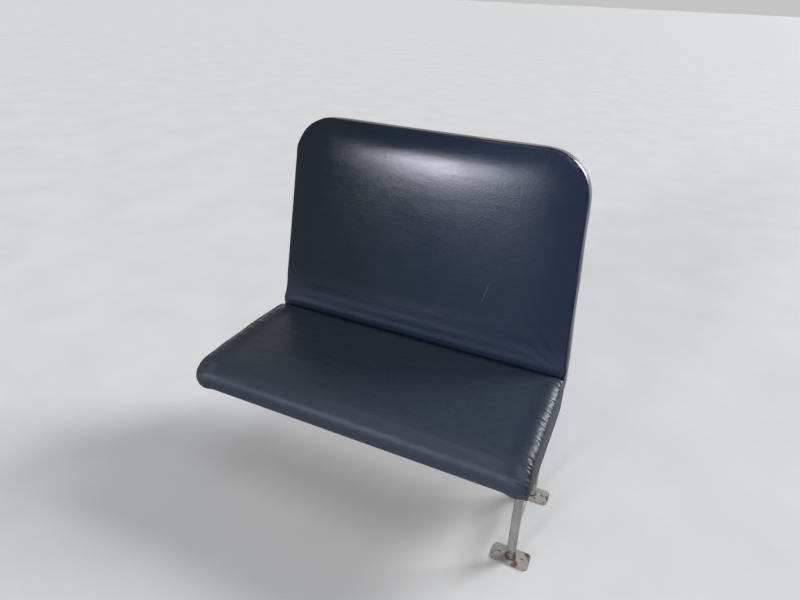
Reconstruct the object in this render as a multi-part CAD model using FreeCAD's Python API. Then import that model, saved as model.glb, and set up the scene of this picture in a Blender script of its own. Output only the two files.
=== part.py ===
import FreeCAD, Part
import math
import os
from FreeCAD import Vector

# Bench seat of a school-type minibus: a high padded back slipped over a bent tube hoop, and a
# padded cushion on a plywood board that flips forward about the front tube of the seat frame.
# The frame stands on an aisle leg bolted to the floor and hangs on two shelf brackets bolted to
# the side wall. Millimetres. X runs across the bus, +X towards the aisle. The sitter faces -Y.
# Z is up. The origin is at floor level, in the middle of the four floor bolt holes.

# Overall seat
seat_width = 990.0
seat_overhang = 40.0        # padding beyond the centre line of each side tube
hinge_y = -190.0            # axis of the front tube, about which the cushion flips
hinge_z = 310.0
frame_tilt = 4.0            # degrees, the seat frame falls towards the back

# Frame tubes
tube_od = 25.4
tube_wall = 2.1
loop_corner_radius = 60.0
rail_from_rear = 65.0       # rear rail ahead of the back of the cushion
brace_od = 19.0
run_past_upright = 20.0     # side tube beyond the axis of the back upright

# Aisle leg
foot_spacing = 250.0
foot_length = 104.0
foot_width = 56.0
foot_thick = 5.0
foot_corner_radius = 12.0
floor_hole_spacing = 64.0
bolt_hole_diameter = 11.0
front_leg_back = 78.0       # leg top behind the hinge axis
rear_leg_from_end = 74.0    # leg top ahead of the end of the side tube
stretcher_od = 19.0
stretcher_z = 112.0

# Wall brackets
wall_clearance = 10.0       # wall plane beyond the edge of the padding
bracket_thick = 4.0
bracket_length = 64.0
bracket_front_back = 90.0   # middle of the front bracket behind the hinge axis
bracket_from_rail = 5.3      # rear bracket behind the rear rail
wall_bolt_z = 254.0
bracket_below_bolt = 18.0

# Cushion
cushion_depth = 445.0
cushion_height = 105.0      # from the underside of the board to the shoulder of the cover
cushion_nose = 75.0         # padding in front of the hinge axis
nose_tuck = 10.0            # the nose's round would close this far below the board
nose_join = 70.0            # degrees above level where the nose's lower arc passes into its upper one
nose_ratio = 2.25           # radius of the upper arc over that of the lower one
crown_slope = 5.0           # degrees, the crowned top where it meets the nose
crown_rise = 16.0           # from there up to the rear edge
cushion_rear_radius = 16.0
cushion_side_bevel = 9.0
board_thick = 12.0
board_inset = 6.0

# Hinge straps and snap clips under the board
clip_width = 32.0
clip_from_middle = 300.0
hinge_play = 0.4
hinge_strap = 2.5
hinge_flange = 18.0
hinge_curl = 50.0           # degrees, how far the strap comes back over the tube at the front
snap_strap = 2.0
snap_play = 1.2
snap_rest = 0.4
snap_depth = 21.0
snap_lip = 3.0

# Back
back_recline = 11.0
back_thick = 95.0
back_length = 730.0
back_bottom_z = 330.0
back_gap = 4.0              # cushion to back
back_taper = 34.0           # the aisle edge leans inboard by this at the top
back_top_radius = 135.0
back_foot_radius = 24.0
back_edge_bevel = 9.0
hoop_play = 0.3
joint_plate_thick = 4.0
joint_plate_reach = 34.0
joint_plate_rise = 30.0

# Tube plugs
plug_thick = 3.0
plug_chamfer = 1.5
plug_insert = 12.0
bore_depth = 60.0           # how far the side tubes' rear ends are bored
plug_play = 0.05

# Places worked out from the sizes above
tube_r = tube_od / 2
bore_r = tube_r - tube_wall
x_aisle = 0.0
x_wall = x_aisle - (seat_width - 2 * seat_overhang)
x_middle = (x_aisle + x_wall) / 2
pad_aisle = x_aisle + seat_overhang
pad_wall = x_wall - seat_overhang
wall_plane = pad_wall - wall_clearance
cushion_low = tube_r + snap_rest + snap_strap
shoulder = cushion_low + cushion_height
cushion_back = cushion_depth - cushion_nose
nose_lean = math.sin(math.radians(nose_join))
nose_spread = 1 + nose_lean + nose_ratio * (math.cos(math.radians(crown_slope)) - nose_lean)
nose_radius = (cushion_height + nose_tuck - crown_rise) / nose_spread
upper_radius = nose_radius * nose_ratio
nose_middle = nose_radius - cushion_nose
nose_level = cushion_low - nose_tuck + nose_radius
nose_foot = nose_middle - math.sqrt(nose_radius ** 2 - (nose_radius - nose_tuck) ** 2)
rear_rail_back = cushion_back - rail_from_rear
bracket_rear_back = rear_rail_back + tube_r + bracket_from_rail + bracket_length / 2
clip_places = (x_middle - clip_from_middle, x_middle + clip_from_middle)
FRONT_FOOT_Y = -foot_spacing / 2
REAR_FOOT_Y = foot_spacing / 2


def tilted(back, up, angle, y0, z0):
    """Y and Z of a point given along and square to a plane that falls backwards by angle."""
    a = math.radians(angle)
    return y0 + back * math.cos(a) + up * math.sin(a), z0 - back * math.sin(a) + up * math.cos(a)


def on_frame(x, back, up=0.0):
    y, z = tilted(back, up, frame_tilt, hinge_y, hinge_z)
    return Vector(x, y, z)


def lay(shape, angle, y0, z0):
    """Turns a shape modelled level into a plane that falls backwards by angle."""
    shape.rotate(Vector(0, 0, 0), Vector(1, 0, 0), -angle)
    shape.translate(Vector(0, y0, z0))
    return shape


def lay_on_frame(shape):
    return lay(shape, frame_tilt, hinge_y, hinge_z)


# The front face of the back is parallel to the rear face of the cushion, back_gap behind it.
rear_slant = math.tan(math.radians(back_recline - frame_tilt))
crest_y, crest_z = tilted(cushion_back, shoulder, frame_tilt, hinge_y, hinge_z)
back_y = (crest_y + back_gap / math.cos(math.radians(back_recline))
          + (back_bottom_z - crest_z) * math.tan(math.radians(back_recline)))


def lay_on_back(shape):
    return lay(shape, back_recline, back_y, back_bottom_z)


def on_back(x, deep, up):
    y, z = tilted(deep, up, back_recline, back_y, back_bottom_z)
    return Vector(x, y, z)


def upright_meets_frame():
    """Distance behind the hinge axis at which the upright's axis crosses the side tube's axis."""
    foot = on_back(0, back_thick / 2, 0)
    lean, fall = math.radians(back_recline), math.radians(frame_tilt)
    dy, dz = foot.y - hinge_y, foot.z - hinge_z
    down = (dz + dy * math.tan(fall)) / (math.cos(lean) + math.sin(lean) * math.tan(fall))
    return (dy - down * math.sin(lean)) / math.cos(fall), down


upright_back, upright_drop = upright_meets_frame()
run_end = upright_back + run_past_upright
rear_leg_back = run_end - rear_leg_from_end


def rounded(points, radii, closed):
    """Edges through points, each corner eased by an arc of its radius."""
    n = len(points)
    cuts = []
    for i, (p, r) in enumerate(zip(points, radii)):
        if r <= 0 or (not closed and i in (0, n - 1)):
            cuts.append((p, None, p))
            continue
        to_last = (points[i - 1] - p).normalize()
        to_next = (points[(i + 1) % n] - p).normalize()
        half = to_last.getAngle(to_next) / 2
        back = r / math.tan(half)
        middle = p + (to_last + to_next).normalize() * (r / math.sin(half) - r)
        cuts.append((p + to_last * back, middle, p + to_next * back))
    edges = []
    for i, (start, middle, end) in enumerate(cuts):
        if middle is not None:
            edges.append(Part.Arc(start, middle, end).toShape())
        if closed or i < n - 1:
            following = cuts[(i + 1) % n][0]
            if end.distanceToPoint(following) > 1e-6:
                edges.append(Part.LineSegment(end, following).toShape())
    return edges


def swept(points, radii, radius):
    """A round bar of the given radius along a path with eased corners."""
    path = Part.Wire(rounded(points, radii, False))
    ring = Part.Wire(Part.makeCircle(radius, points[0], points[1] - points[0]))
    return path.makePipeShell([ring], True, False)


def bar(start, end, radius):
    return Part.makeCylinder(radius, start.distanceToPoint(end), start, end - start)


def pipe(start, end, od):
    return bar(start, end, od / 2).cut(bar(start, end, od / 2 - tube_wall))


def prism(edges, along):
    return Part.Face(Part.Wire(edges)).extrude(along)


def block(x0, x1, y0, y1, z0, z1):
    return Part.makeBox(x1 - x0, y1 - y0, z1 - z0, Vector(x0, y0, z0))


def hole(centre, axis, diameter, length):
    return Part.makeCylinder(diameter / 2, length, centre - axis * (length / 2), axis)


def loop_bar(radius):
    """The seat frame's bar: back along the aisle side, across the front, along the wall side."""
    points = [Vector(x_aisle, run_end, 0), Vector(x_aisle, 0, 0),
              Vector(x_wall, 0, 0), Vector(x_wall, run_end, 0)]
    return lay_on_frame(swept(points, [0, loop_corner_radius, loop_corner_radius, 0], radius))


def hoop_points(out):
    """The hoop's path, moved outwards by out: up the aisle side, across the top, down the wall side."""
    deep = back_thick / 2
    lean = back_taper / back_length
    aisle = x_aisle + out * math.hypot(1, lean)
    wall = x_wall - out
    top = back_length - seat_overhang + out
    return [Vector(aisle + lean * upright_drop, deep, -upright_drop), Vector(aisle - lean * top, deep, top),
            Vector(wall, deep, top), Vector(wall, deep, -upright_drop)]


def hoop_radii(out):
    bend = back_top_radius - seat_overhang + out
    return [0, bend, bend, 0]


def hoop_bar():
    return lay_on_back(swept(hoop_points(0), hoop_radii(0), tube_r))


def hoop_channel():
    """The square channel in the foam that the hoop lies in."""
    half = tube_r + hoop_play
    layers = []
    for out in (half, -half):
        points = [p - Vector(0, half, 0) for p in hoop_points(out)]
        layers.append(prism(rounded(points, hoop_radii(out), True), Vector(0, 2 * half, 0)))
    return lay_on_back(layers[0].cut(layers[1]))


def seat_loop():
    """The bar with its two rear ends bored for the plugs."""
    bores = []
    for x in (x_aisle, x_wall):
        bores.append(bar(on_frame(x, run_end - bore_depth), on_frame(x, run_end), bore_r))
    return loop_bar(tube_r).cut(Part.makeCompound(bores))


def back_hoop():
    return hoop_bar().cut(loop_bar(tube_r))


def rear_rail_ends():
    return on_frame(x_wall, rear_rail_back), on_frame(x_aisle, rear_rail_back)


def rear_rail():
    return pipe(*rear_rail_ends(), tube_od).cut(loop_bar(tube_r))


def centre_brace():
    brace = pipe(on_frame(x_middle, 0), on_frame(x_middle, rear_rail_back), brace_od)
    return brace.cut(loop_bar(tube_r)).cut(bar(*rear_rail_ends(), tube_r))


def leg_ends(foot_y, top_back):
    """The leg's axis, from below the foot plate's top to the side tube's axis."""
    top = on_frame(x_aisle, top_back)
    foot = Vector(x_aisle, foot_y, foot_thick)
    below = (foot - top).normalize() * tube_od
    return foot + below, top


def leg(foot_y, top_back):
    start, end = leg_ends(foot_y, top_back)
    under = block(x_aisle - foot_length, x_aisle + foot_length, foot_y - foot_length,
                  foot_y + foot_length, -foot_length, foot_thick)
    return pipe(start, end, tube_od).cut(under).cut(loop_bar(tube_r))


def leg_at(foot_y, top_back, z):
    start, end = leg_ends(foot_y, top_back)
    return start + (end - start) * ((z - start.z) / (end.z - start.z))


def leg_stretcher():
    brace = pipe(leg_at(FRONT_FOOT_Y, front_leg_back, stretcher_z),
                 leg_at(REAR_FOOT_Y, rear_leg_back, stretcher_z), stretcher_od)
    for foot_y, top_back in ((FRONT_FOOT_Y, front_leg_back), (REAR_FOOT_Y, rear_leg_back)):
        brace = brace.cut(bar(*leg_ends(foot_y, top_back), tube_r))
    return brace


def foot(foot_y):
    half_x, half_y = foot_length / 2, foot_width / 2
    corners = [Vector(x_aisle + i * half_x, foot_y + j * half_y, 0)
               for i, j in ((-1, -1), (1, -1), (1, 1), (-1, 1))]
    plate = prism(rounded(corners, [foot_corner_radius] * 4, True), Vector(0, 0, foot_thick))
    for side in (-1, 1):
        centre = Vector(x_aisle + side * floor_hole_spacing / 2, foot_y, foot_thick / 2)
        plate = plate.cut(hole(centre, Vector(0, 0, 1), bolt_hole_diameter, 3 * foot_thick))
    return plate


def wall_bracket(middle_back):
    """A bent angle: its shelf carries the side tube, its flange hangs down along the wall."""
    shelf_top = -tube_r
    shelf = lay_on_frame(block(wall_plane, x_wall + tube_r, middle_back - bracket_length / 2,
                               middle_back + bracket_length / 2, shelf_top - bracket_thick, shelf_top))
    ends = [on_frame(wall_plane, middle_back + side * bracket_length / 2, shelf_top) for side in (-1, 1)]
    low = wall_bolt_z - bracket_below_bolt
    corners = [ends[0], ends[1], Vector(wall_plane, ends[1].y, low), Vector(wall_plane, ends[0].y, low)]
    flange = prism(rounded(corners, [0, 0, foot_corner_radius, foot_corner_radius], True),
                   Vector(bracket_thick, 0, 0))
    centre = Vector(wall_plane, (ends[0].y + ends[1].y) / 2, wall_bolt_z)
    flange = flange.cut(hole(centre, Vector(1, 0, 0), bolt_hole_diameter, 4 * bracket_thick))
    return shelf.fuse(flange).removeSplitter()


def run_plugs():
    """Moulded caps pushed into the open rear ends of the side tubes."""
    plugs = []
    for x in (x_aisle, x_wall):
        cap = bar(Vector(x, run_end, 0), Vector(x, run_end + plug_thick, 0), tube_r)
        rim = [e for e in cap.Edges if abs(e.CenterOfMass.y - run_end - plug_thick) < 1e-6]
        cap = cap.makeChamfer(plug_chamfer, rim)
        stem = bar(Vector(x, run_end - plug_insert, 0), Vector(x, run_end, 0), bore_r - plug_play)
        plugs.append(lay_on_frame(cap.fuse(stem)))
    return Part.makeCompound(plugs)


def joint_plates():
    """Plates on the inner side of each joint between side tube and back upright."""
    low, high = -tube_r * 0.8, joint_plate_rise
    outline = [(upright_back - joint_plate_reach, low), (run_end, low), (run_end, tube_r),
               (run_end - tube_r / 2, high), (upright_back - tube_r / 2, high)]
    plates = []
    for x, inward in ((x_aisle, -1), (x_wall, 1)):
        face_x = x + inward * tube_r
        points = [Vector(face_x, back, up) for back, up in outline]
        plate = prism(rounded(points, [6, 6, 0, 6, 10], True), Vector(inward * joint_plate_thick, 0, 0))
        plates.append(lay_on_frame(plate).cut(hoop_bar()))
    return Part.makeCompound(plates)


def board_block():
    rear = cushion_back - rear_slant * cushion_height - board_inset
    return block(pad_wall + board_inset, pad_aisle - board_inset, nose_foot + board_inset, rear,
                 cushion_low, cushion_low + board_thick)


def cushion_board():
    return lay_on_frame(board_block())


def seat_cushion():
    """Foam and cover on the board: a full nose of two arcs, a crowned top, a slanted rear face."""
    low = cushion_low - nose_tuck

    def ray(angle, length):
        return Vector(0, -length * math.cos(math.radians(angle)), length * math.sin(math.radians(angle)))
    lower_centre = Vector(pad_wall, nose_middle, nose_level)
    upper_centre = lower_centre - ray(nose_join, upper_radius - nose_radius)
    nose_low = lower_centre + ray(-90, nose_radius)
    nose_front = lower_centre + ray(0, nose_radius)
    nose_join_point = lower_centre + ray(nose_join, nose_radius)
    nose_brow = upper_centre + ray((nose_join + 90 - crown_slope) / 2, upper_radius)
    nose_top = upper_centre + ray(90 - crown_slope, upper_radius)
    rear_top = Vector(pad_wall, cushion_back, shoulder)
    rear_low = Vector(pad_wall, cushion_back - rear_slant * (shoulder - low), low)
    chord = rear_top - nose_top
    swing = math.radians(crown_slope) - math.atan2(chord.z, chord.y)
    crown = Vector(0, -chord.z, chord.y) * (math.tan(swing / 2) / 2)
    top_middle = (nose_top + rear_top) * 0.5 + crown
    edges = [Part.LineSegment(rear_low, nose_low).toShape(),
             Part.Arc(nose_low, nose_front, nose_join_point).toShape(),
             Part.Arc(nose_join_point, nose_brow, nose_top).toShape(),
             Part.Arc(nose_top, top_middle, rear_top).toShape(),
             Part.LineSegment(rear_top, rear_low).toShape()]
    body = prism(edges, Vector(seat_width, 0, 0))
    rear_edge = [e for e in body.Edges if abs(e.BoundBox.XLength - seat_width) < 1e-6
                 and math.hypot(e.CenterOfMass.y - rear_top.y, e.CenterOfMass.z - rear_top.z) < 1e-3]
    body = body.makeFillet(cushion_rear_radius, rear_edge)
    side_edges = [e for e in body.Edges if e.BoundBox.XLength < 1e-6]
    body = body.makeChamfer(cushion_side_bevel, side_edges)
    under = block(pad_wall - board_inset, pad_aisle + board_inset, -2 * cushion_depth, 2 * cushion_depth,
                  low - cushion_height, cushion_low)
    return lay_on_frame(body.cut(under).cut(board_block()))


def back_cushion():
    """Foam and cover slipped over the hoop. Its aisle edge leans inboard towards the top."""
    corners = [Vector(pad_aisle, 0, 0), Vector(pad_aisle - back_taper, 0, back_length),
               Vector(pad_wall, 0, back_length), Vector(pad_wall, 0, 0)]
    radii = [back_foot_radius, back_top_radius, back_top_radius, back_foot_radius]
    body = prism(rounded(corners, radii, True), Vector(0, back_thick, 0))
    rims = [e for e in body.Edges if e.BoundBox.YLength < 1e-6]
    body = lay_on_back(body.makeChamfer(back_edge_bevel, rims))
    return body.cut(hoop_channel())


def hinge_clips():
    """Straps screwed under the board that curl round the front tube: the hinge of the cushion."""
    inner, outer = tube_r + hinge_play, tube_r + hinge_play + hinge_strap
    foot_out, foot_low = outer + hinge_flange, cushion_low - hinge_strap
    clips = []
    for x in clip_places:
        def at(back, up):
            return Vector(x - clip_width / 2, back, up)

        def round_tube(radius, angle):
            return at(radius * math.cos(math.radians(angle)), radius * math.sin(math.radians(angle)))
        half_way, curl_end = -(180 + hinge_curl) / 2, -(180 + hinge_curl)
        edges = [Part.LineSegment(at(foot_out, cushion_low), at(inner, cushion_low)).toShape(),
                 Part.LineSegment(at(inner, cushion_low), at(inner, 0)).toShape(),
                 Part.Arc(at(inner, 0), round_tube(inner, half_way), round_tube(inner, curl_end)).toShape(),
                 Part.LineSegment(round_tube(inner, curl_end), round_tube(outer, curl_end)).toShape(),
                 Part.Arc(round_tube(outer, curl_end), round_tube(outer, half_way), at(outer, 0)).toShape(),
                 Part.LineSegment(at(outer, 0), at(outer, foot_low)).toShape(),
                 Part.LineSegment(at(outer, foot_low), at(foot_out, foot_low)).toShape(),
                 Part.LineSegment(at(foot_out, foot_low), at(foot_out, cushion_low)).toShape()]
        clips.append(lay_on_frame(prism(edges, Vector(clip_width, 0, 0))))
    return Part.makeCompound(clips)


def snap_clips():
    """Spring clips under the board that drop over the rear rail and lift off it."""
    inner = tube_r + snap_play
    low, high = cushion_low - snap_depth, cushion_low
    half = [(inner, high - snap_strap), (inner, low + snap_lip), (inner + snap_lip, low),
            (inner + snap_lip + snap_strap, low), (inner + snap_strap, low + snap_lip),
            (inner + snap_strap, high)]
    outline = half + [(-back, up) for back, up in reversed(half)]
    clips = []
    for x in clip_places:
        points = [Vector(x - clip_width / 2, rear_rail_back + back, up) for back, up in outline]
        edges = rounded(points, [0] * len(points), True)
        clips.append(lay_on_frame(prism(edges, Vector(clip_width, 0, 0))))
    return Part.makeCompound(clips)


def save(name, shape):
    for number, solid in enumerate(shape.Solids):
        if not solid.isValid() or solid.Volume <= 0:
            raise ValueError(f"{name} solid {number} is not a valid closed solid")
    shape.exportStep(os.path.join("parts", name + ".step"))


def main():
    os.makedirs("parts", exist_ok=True)
    save("seat_loop", seat_loop())
    save("rear_rail", rear_rail())
    save("centre_brace", centre_brace())
    save("front_leg", leg(FRONT_FOOT_Y, front_leg_back))
    save("rear_leg", leg(REAR_FOOT_Y, rear_leg_back))
    save("leg_stretcher", leg_stretcher())
    save("front_foot", foot(FRONT_FOOT_Y))
    save("rear_foot", foot(REAR_FOOT_Y))
    save("wall_bracket_front", wall_bracket(bracket_front_back))
    save("wall_bracket_rear", wall_bracket(bracket_rear_back))
    save("run_plugs", run_plugs())
    save("back_hoop", back_hoop())
    save("joint_plates", joint_plates())
    save("back_cushion", back_cushion())
    save("seat_cushion", seat_cushion())
    save("cushion_board", cushion_board())
    save("hinge_clips", hinge_clips())
    save("snap_clips", snap_clips())


main()
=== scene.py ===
import bpy
import bmesh
import math
import random
import numpy as np
from mathutils import Matrix, Vector, noise
from mathutils.bvhtree import BVHTree


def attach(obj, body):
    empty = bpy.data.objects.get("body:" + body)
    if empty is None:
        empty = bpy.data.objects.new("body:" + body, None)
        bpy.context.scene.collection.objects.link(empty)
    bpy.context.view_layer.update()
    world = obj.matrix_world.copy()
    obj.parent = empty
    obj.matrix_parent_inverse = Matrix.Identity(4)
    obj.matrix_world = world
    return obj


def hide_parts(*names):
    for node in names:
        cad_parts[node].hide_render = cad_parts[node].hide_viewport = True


# A two-person bench seat of a school-type minibus, in metres, in the order it is put together.
# X runs across the bus towards the aisle, the sitter faces -Y, Z is up from the floor.
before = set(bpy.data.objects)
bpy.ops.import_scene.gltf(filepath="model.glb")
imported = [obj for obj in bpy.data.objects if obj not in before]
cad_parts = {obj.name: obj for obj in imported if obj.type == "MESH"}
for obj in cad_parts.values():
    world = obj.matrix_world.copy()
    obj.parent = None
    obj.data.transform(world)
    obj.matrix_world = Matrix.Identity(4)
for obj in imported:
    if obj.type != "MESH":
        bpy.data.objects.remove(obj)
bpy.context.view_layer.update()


# Seat frame, back hoop, leg, feet and wall brackets: 25 mm steel tube and plate, bent, welded and
# sprayed with light grey paint. The paint has gone dull, and rust comes through at the welds, on
# the undersides and low on the leg, where wet shoes reach it.
def feed(tree, socket, value):
    """Gives a socket a value or another node's output."""
    if isinstance(value, bpy.types.NodeSocket):
        tree.links.new(value, socket)
    else:
        socket.default_value = value


def node(tree, kind, inputs=None, **settings):
    """A shader node with its settings and what its inputs are fed."""
    made = tree.nodes.new("ShaderNode" + kind)
    for name, value in settings.items():
        setattr(made, name, value)
    for name, value in (inputs or {}).items():
        feed(tree, made.inputs[name], value)
    return made


def effect(name, inputs, outputs):
    """An empty node group with named inputs (name, kind, value) and outputs (name, kind)."""
    tree = bpy.data.node_groups.new(name, "ShaderNodeTree")
    for label, kind, value in inputs:
        socket = tree.interface.new_socket(label, in_out="INPUT", socket_type="NodeSocket" + kind)
        if value is not None:
            socket.default_value = value
    for label, kind in outputs:
        tree.interface.new_socket(label, in_out="OUTPUT", socket_type="NodeSocket" + kind)
    return tree, tree.nodes.new("NodeGroupInput").outputs, tree.nodes.new("NodeGroupOutput").inputs


def use(tree, group, inputs):
    """Places a node group and returns its outputs."""
    return node(tree, "Group", inputs, node_tree=group).outputs


def ramp(tree, factor, *stops):
    """A colour ramp through (place, colour) stops."""
    made = node(tree, "ValToRGB", {"Fac": factor})
    elements = made.color_ramp.elements
    while len(elements) < len(stops):
        elements.new(0.5)
    for element, (place, colour) in zip(elements, stops):
        element.position = place
        element.color = (*colour, 1)
    return made.outputs["Color"]


def step(tree, value, low, high, to_low=0.0, to_high=1.0):
    """Goes smoothly from one level to the other as value goes from low to high."""
    return node(tree, "MapRange", {"Value": value, "From Min": low, "From Max": high, "To Min": to_low,
                                   "To Max": to_high}, interpolation_type="SMOOTHSTEP").outputs["Result"]


def maths(tree, operation, a, b=0.0):
    return node(tree, "Math", {0: a, 1: b}, operation=operation).outputs[0]


def plus(tree, a, b):
    return maths(tree, "ADD", a, b)


def minus(tree, a, b):
    return maths(tree, "SUBTRACT", a, b)


def times(tree, a, b):
    return maths(tree, "MULTIPLY", a, b)


def tint(tree, factor, a, b):
    """Two colours mixed by a factor."""
    made = node(tree, "Mix", data_type="RGBA")
    for number, value in ((0, factor), (6, a), (7, b)):
        feed(tree, made.inputs[number], (*value, 1) if isinstance(value, tuple) else value)
    return made.outputs[2]


def finish_of(name, rough_value, metal=0.0, specular=0.5):
    """A material with its shader and the object's own coordinates."""
    made = bpy.data.materials.new(name)
    made.use_nodes = True
    tree = made.node_tree
    shader = tree.nodes["Principled BSDF"]
    shader.inputs["Roughness"].default_value = rough_value
    shader.inputs["Metallic"].default_value = metal
    shader.inputs["Specular IOR Level"].default_value = specular
    place = node(tree, "TexCoord").outputs["Object"]
    return made, tree, shader, place


def speckle(tree, place, scale, detail, roughness=0.55):
    """Noise from 0 to 1."""
    return node(tree, "TexNoise", {"Vector": place, "Scale": scale, "Detail": detail,
                                   "Roughness": roughness}).outputs["Fac"]


def stretch(tree, place, factors):
    """The place with each axis scaled, which draws a pattern out along the small ones."""
    return node(tree, "Mapping", {"Vector": place, "Scale": factors}).outputs[0]


def bumped(tree, height, strength, distance, under=None):
    """A bump by a height of 0 to 1, on top of another one if given."""
    inputs = {"Height": height, "Strength": strength, "Distance": distance}
    if under is not None:
        inputs["Normal"] = under
    return node(tree, "Bump", inputs).outputs[0]


def refinish(material, *names):
    """Gives CAD nodes their material."""
    for name in names:
        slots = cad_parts[name].data.materials
        slots.clear()
        slots.append(material)


# Rust: where it lies, more of it as Cover rises, its colours, and its pitted height.
RUST, give, take = effect("rust", [("Place", "Vector", None), ("Cover", "Float", 0.3)],
                          [("Mask", "Float"), ("Colour", "Color"), ("Height", "Float")])
blotch = speckle(RUST, give["Place"], 26, 8, 0.62)
pits = speckle(RUST, give["Place"], 260, 4, 0.7)
spread = plus(RUST, blotch, times(RUST, minus(RUST, pits, 0.5), 0.35))
edge = minus(RUST, 0.78, times(RUST, give["Cover"], 0.5))
mask = step(RUST, minus(RUST, spread, edge), -0.05, 0.05)
RUST.links.new(mask, take["Mask"])
RUST.links.new(ramp(RUST, plus(RUST, times(RUST, pits, 0.6), times(RUST, blotch, 0.4)),
                    (0.3, (0.020, 0.010, 0.007)), (0.5, (0.075, 0.031, 0.016)), (0.62, (0.115, 0.055, 0.030)),
                    (0.78, (0.170, 0.110, 0.075))), take["Colour"])
RUST.links.new(times(RUST, mask, plus(RUST, pits, 0.2)), take["Height"])

paint, tree, shader, place = finish_of("worn_grey_paint", 0.42)
up_down = node(tree, "SeparateXYZ", {0: place}).outputs["Z"]
facing = node(tree, "SeparateXYZ", {0: node(tree, "NewGeometry").outputs["Normal"]}).outputs["Z"]
welded = node(tree, "Attribute", attribute_name="weld").outputs["Fac"]
cover = plus(tree, step(tree, up_down, 0.16, 0.0, 0.10, 0.40), step(tree, facing, 0.1, -0.9, 0.0, 0.30))
cover = plus(tree, cover, times(tree, welded, 0.32))
rust = use(tree, RUST, {"Place": place, "Cover": cover})
fade = speckle(tree, place, 7, 5)
grey = ramp(tree, fade, (0.3, (0.20, 0.195, 0.185)), (0.55, (0.27, 0.265, 0.25)), (0.75, (0.32, 0.31, 0.29)))
grime = step(tree, speckle(tree, place, 40, 6, 0.7), 0.52, 0.72)
grey = tint(tree, times(tree, grime, 0.45), grey, (0.16, 0.14, 0.12))
tree.links.new(tint(tree, rust["Mask"], grey, rust["Colour"]), shader.inputs["Base Color"])
dull = plus(tree, 0.36, times(tree, fade, 0.16))
tree.links.new(maths(tree, "MAXIMUM", dull, times(tree, rust["Mask"], 0.85)), shader.inputs["Roughness"])
orange_peel = times(tree, speckle(tree, place, 420, 2), 0.12)
tree.links.new(bumped(tree, plus(tree, rust["Height"], orange_peel), 0.7, 0.0006), shader.inputs["Normal"])
refinish(paint, "seat_loop", "rear_rail", "centre_brace", "front_leg", "rear_leg", "leg_stretcher",
         "front_foot", "rear_foot", "wall_bracket_front", "wall_bracket_rear", "back_hoop", "joint_plates")


# Weld beads where tube meets tube or plate: laid by hand in small ripples and painted over with the
# frame. The paint is thin on them, so they rust first.
def as_object(name, bm):
    """Turns a bmesh into an object in the scene."""
    mesh = bpy.data.meshes.new(name)
    bm.to_mesh(mesh)
    bm.free()
    made = bpy.data.objects.new(name, mesh)
    bpy.context.scene.collection.objects.link(made)
    return made


def discard(holder):
    mesh = holder.data
    bpy.data.objects.remove(holder)
    bpy.data.meshes.remove(mesh)


def piece(name, bm, material, body):
    """Turns a bmesh into a smooth piece that rides on a body."""
    made = as_object(name, bm)
    made.data.materials.append(material)
    for face in made.data.polygons:
        face.use_smooth = True
    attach(made, body)
    return made


def tube_along(bm, points, radii, closed):
    """Adds a thin round tube along points to a bmesh."""
    curve = bpy.data.curves.new("line", "CURVE")
    curve.dimensions = "3D"
    curve.bevel_depth = 1.0
    curve.bevel_resolution = 1
    curve.use_fill_caps = not closed
    spline = curve.splines.new("POLY")
    spline.points.add(len(points) - 1)
    spline.use_cyclic_u = closed
    for at, place, radius in zip(spline.points, points, radii):
        at.co = (*place, 1)
        at.radius = radius
    holder = bpy.data.objects.new("line", curve)
    mesh = bpy.data.meshes.new_from_object(holder)
    bm.from_mesh(mesh)
    bpy.data.objects.remove(holder)
    bpy.data.curves.remove(curve)
    bpy.data.meshes.remove(mesh)


def evenly(points, pitch, closed=True):
    """Points at an even pitch along a line."""
    line = np.vstack([points, points[:1]]) if closed else np.asarray(points)
    length = np.concatenate([[0], np.cumsum(np.linalg.norm(np.diff(line, axis=0), axis=1))])
    count = max(int(round(length[-1] / pitch)), 2)
    stops = np.linspace(0, length[-1], count + (not closed), endpoint=not closed)
    return np.stack([np.interp(stops, length, line[:, k]) for k in range(3)], axis=1)


BEAD_STOPS, BEAD_OFF = 96, 0.0004


def bead_points(node_name, start, end, radius):
    """The line where a round tube from start towards end meets a CAD node."""
    skin = BVHTree.FromObject(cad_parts[node_name], bpy.context.evaluated_depsgraph_get())
    start, end = Vector(start), Vector(end)
    turn = (end - start).to_track_quat("Z", "Y").to_matrix()
    points = []
    for k in range(BEAD_STOPS):
        angle = 2 * math.pi * k / BEAD_STOPS
        origin = start + turn @ Vector((math.cos(angle), math.sin(angle), 0)) * (radius + BEAD_OFF)
        hit = skin.ray_cast(origin, (end - start).normalized())[0]
        if hit:
            points.append(hit)
    return points


# The seat frame tips back 4 degrees about the front tube, and the back leans 11 degrees.
SEAT = Matrix.Translation((0, -0.190, 0.310)) @ Matrix.Rotation(math.radians(-4), 4, "X")
LEAN = Matrix.Translation((0, 0.177168, 0.330)) @ Matrix.Rotation(math.radians(-11), 4, "X")
AISLE_TUBE, WALL_TUBE, MIDDLE = 0.0, -0.910, -0.455        # the side tubes and the brace, on X
RAIL_BACK, HOOP_DEEP = 0.305, 0.0475
TUBE, THIN_TUBE = 0.0127, 0.0095                           # radii
FOOT_TOP, STRETCHER_UP = 0.005, 0.107


def on_frame(x, back, up=0.0):
    """A place on the seat frame's plane: how far behind the front tube's axis, and how far above it."""
    return SEAT @ Vector((x, back, up))


def in_back(x, up):
    """A place on the plane of the back's hoop."""
    return LEAN @ Vector((x, HOOP_DEEP, up))


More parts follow.
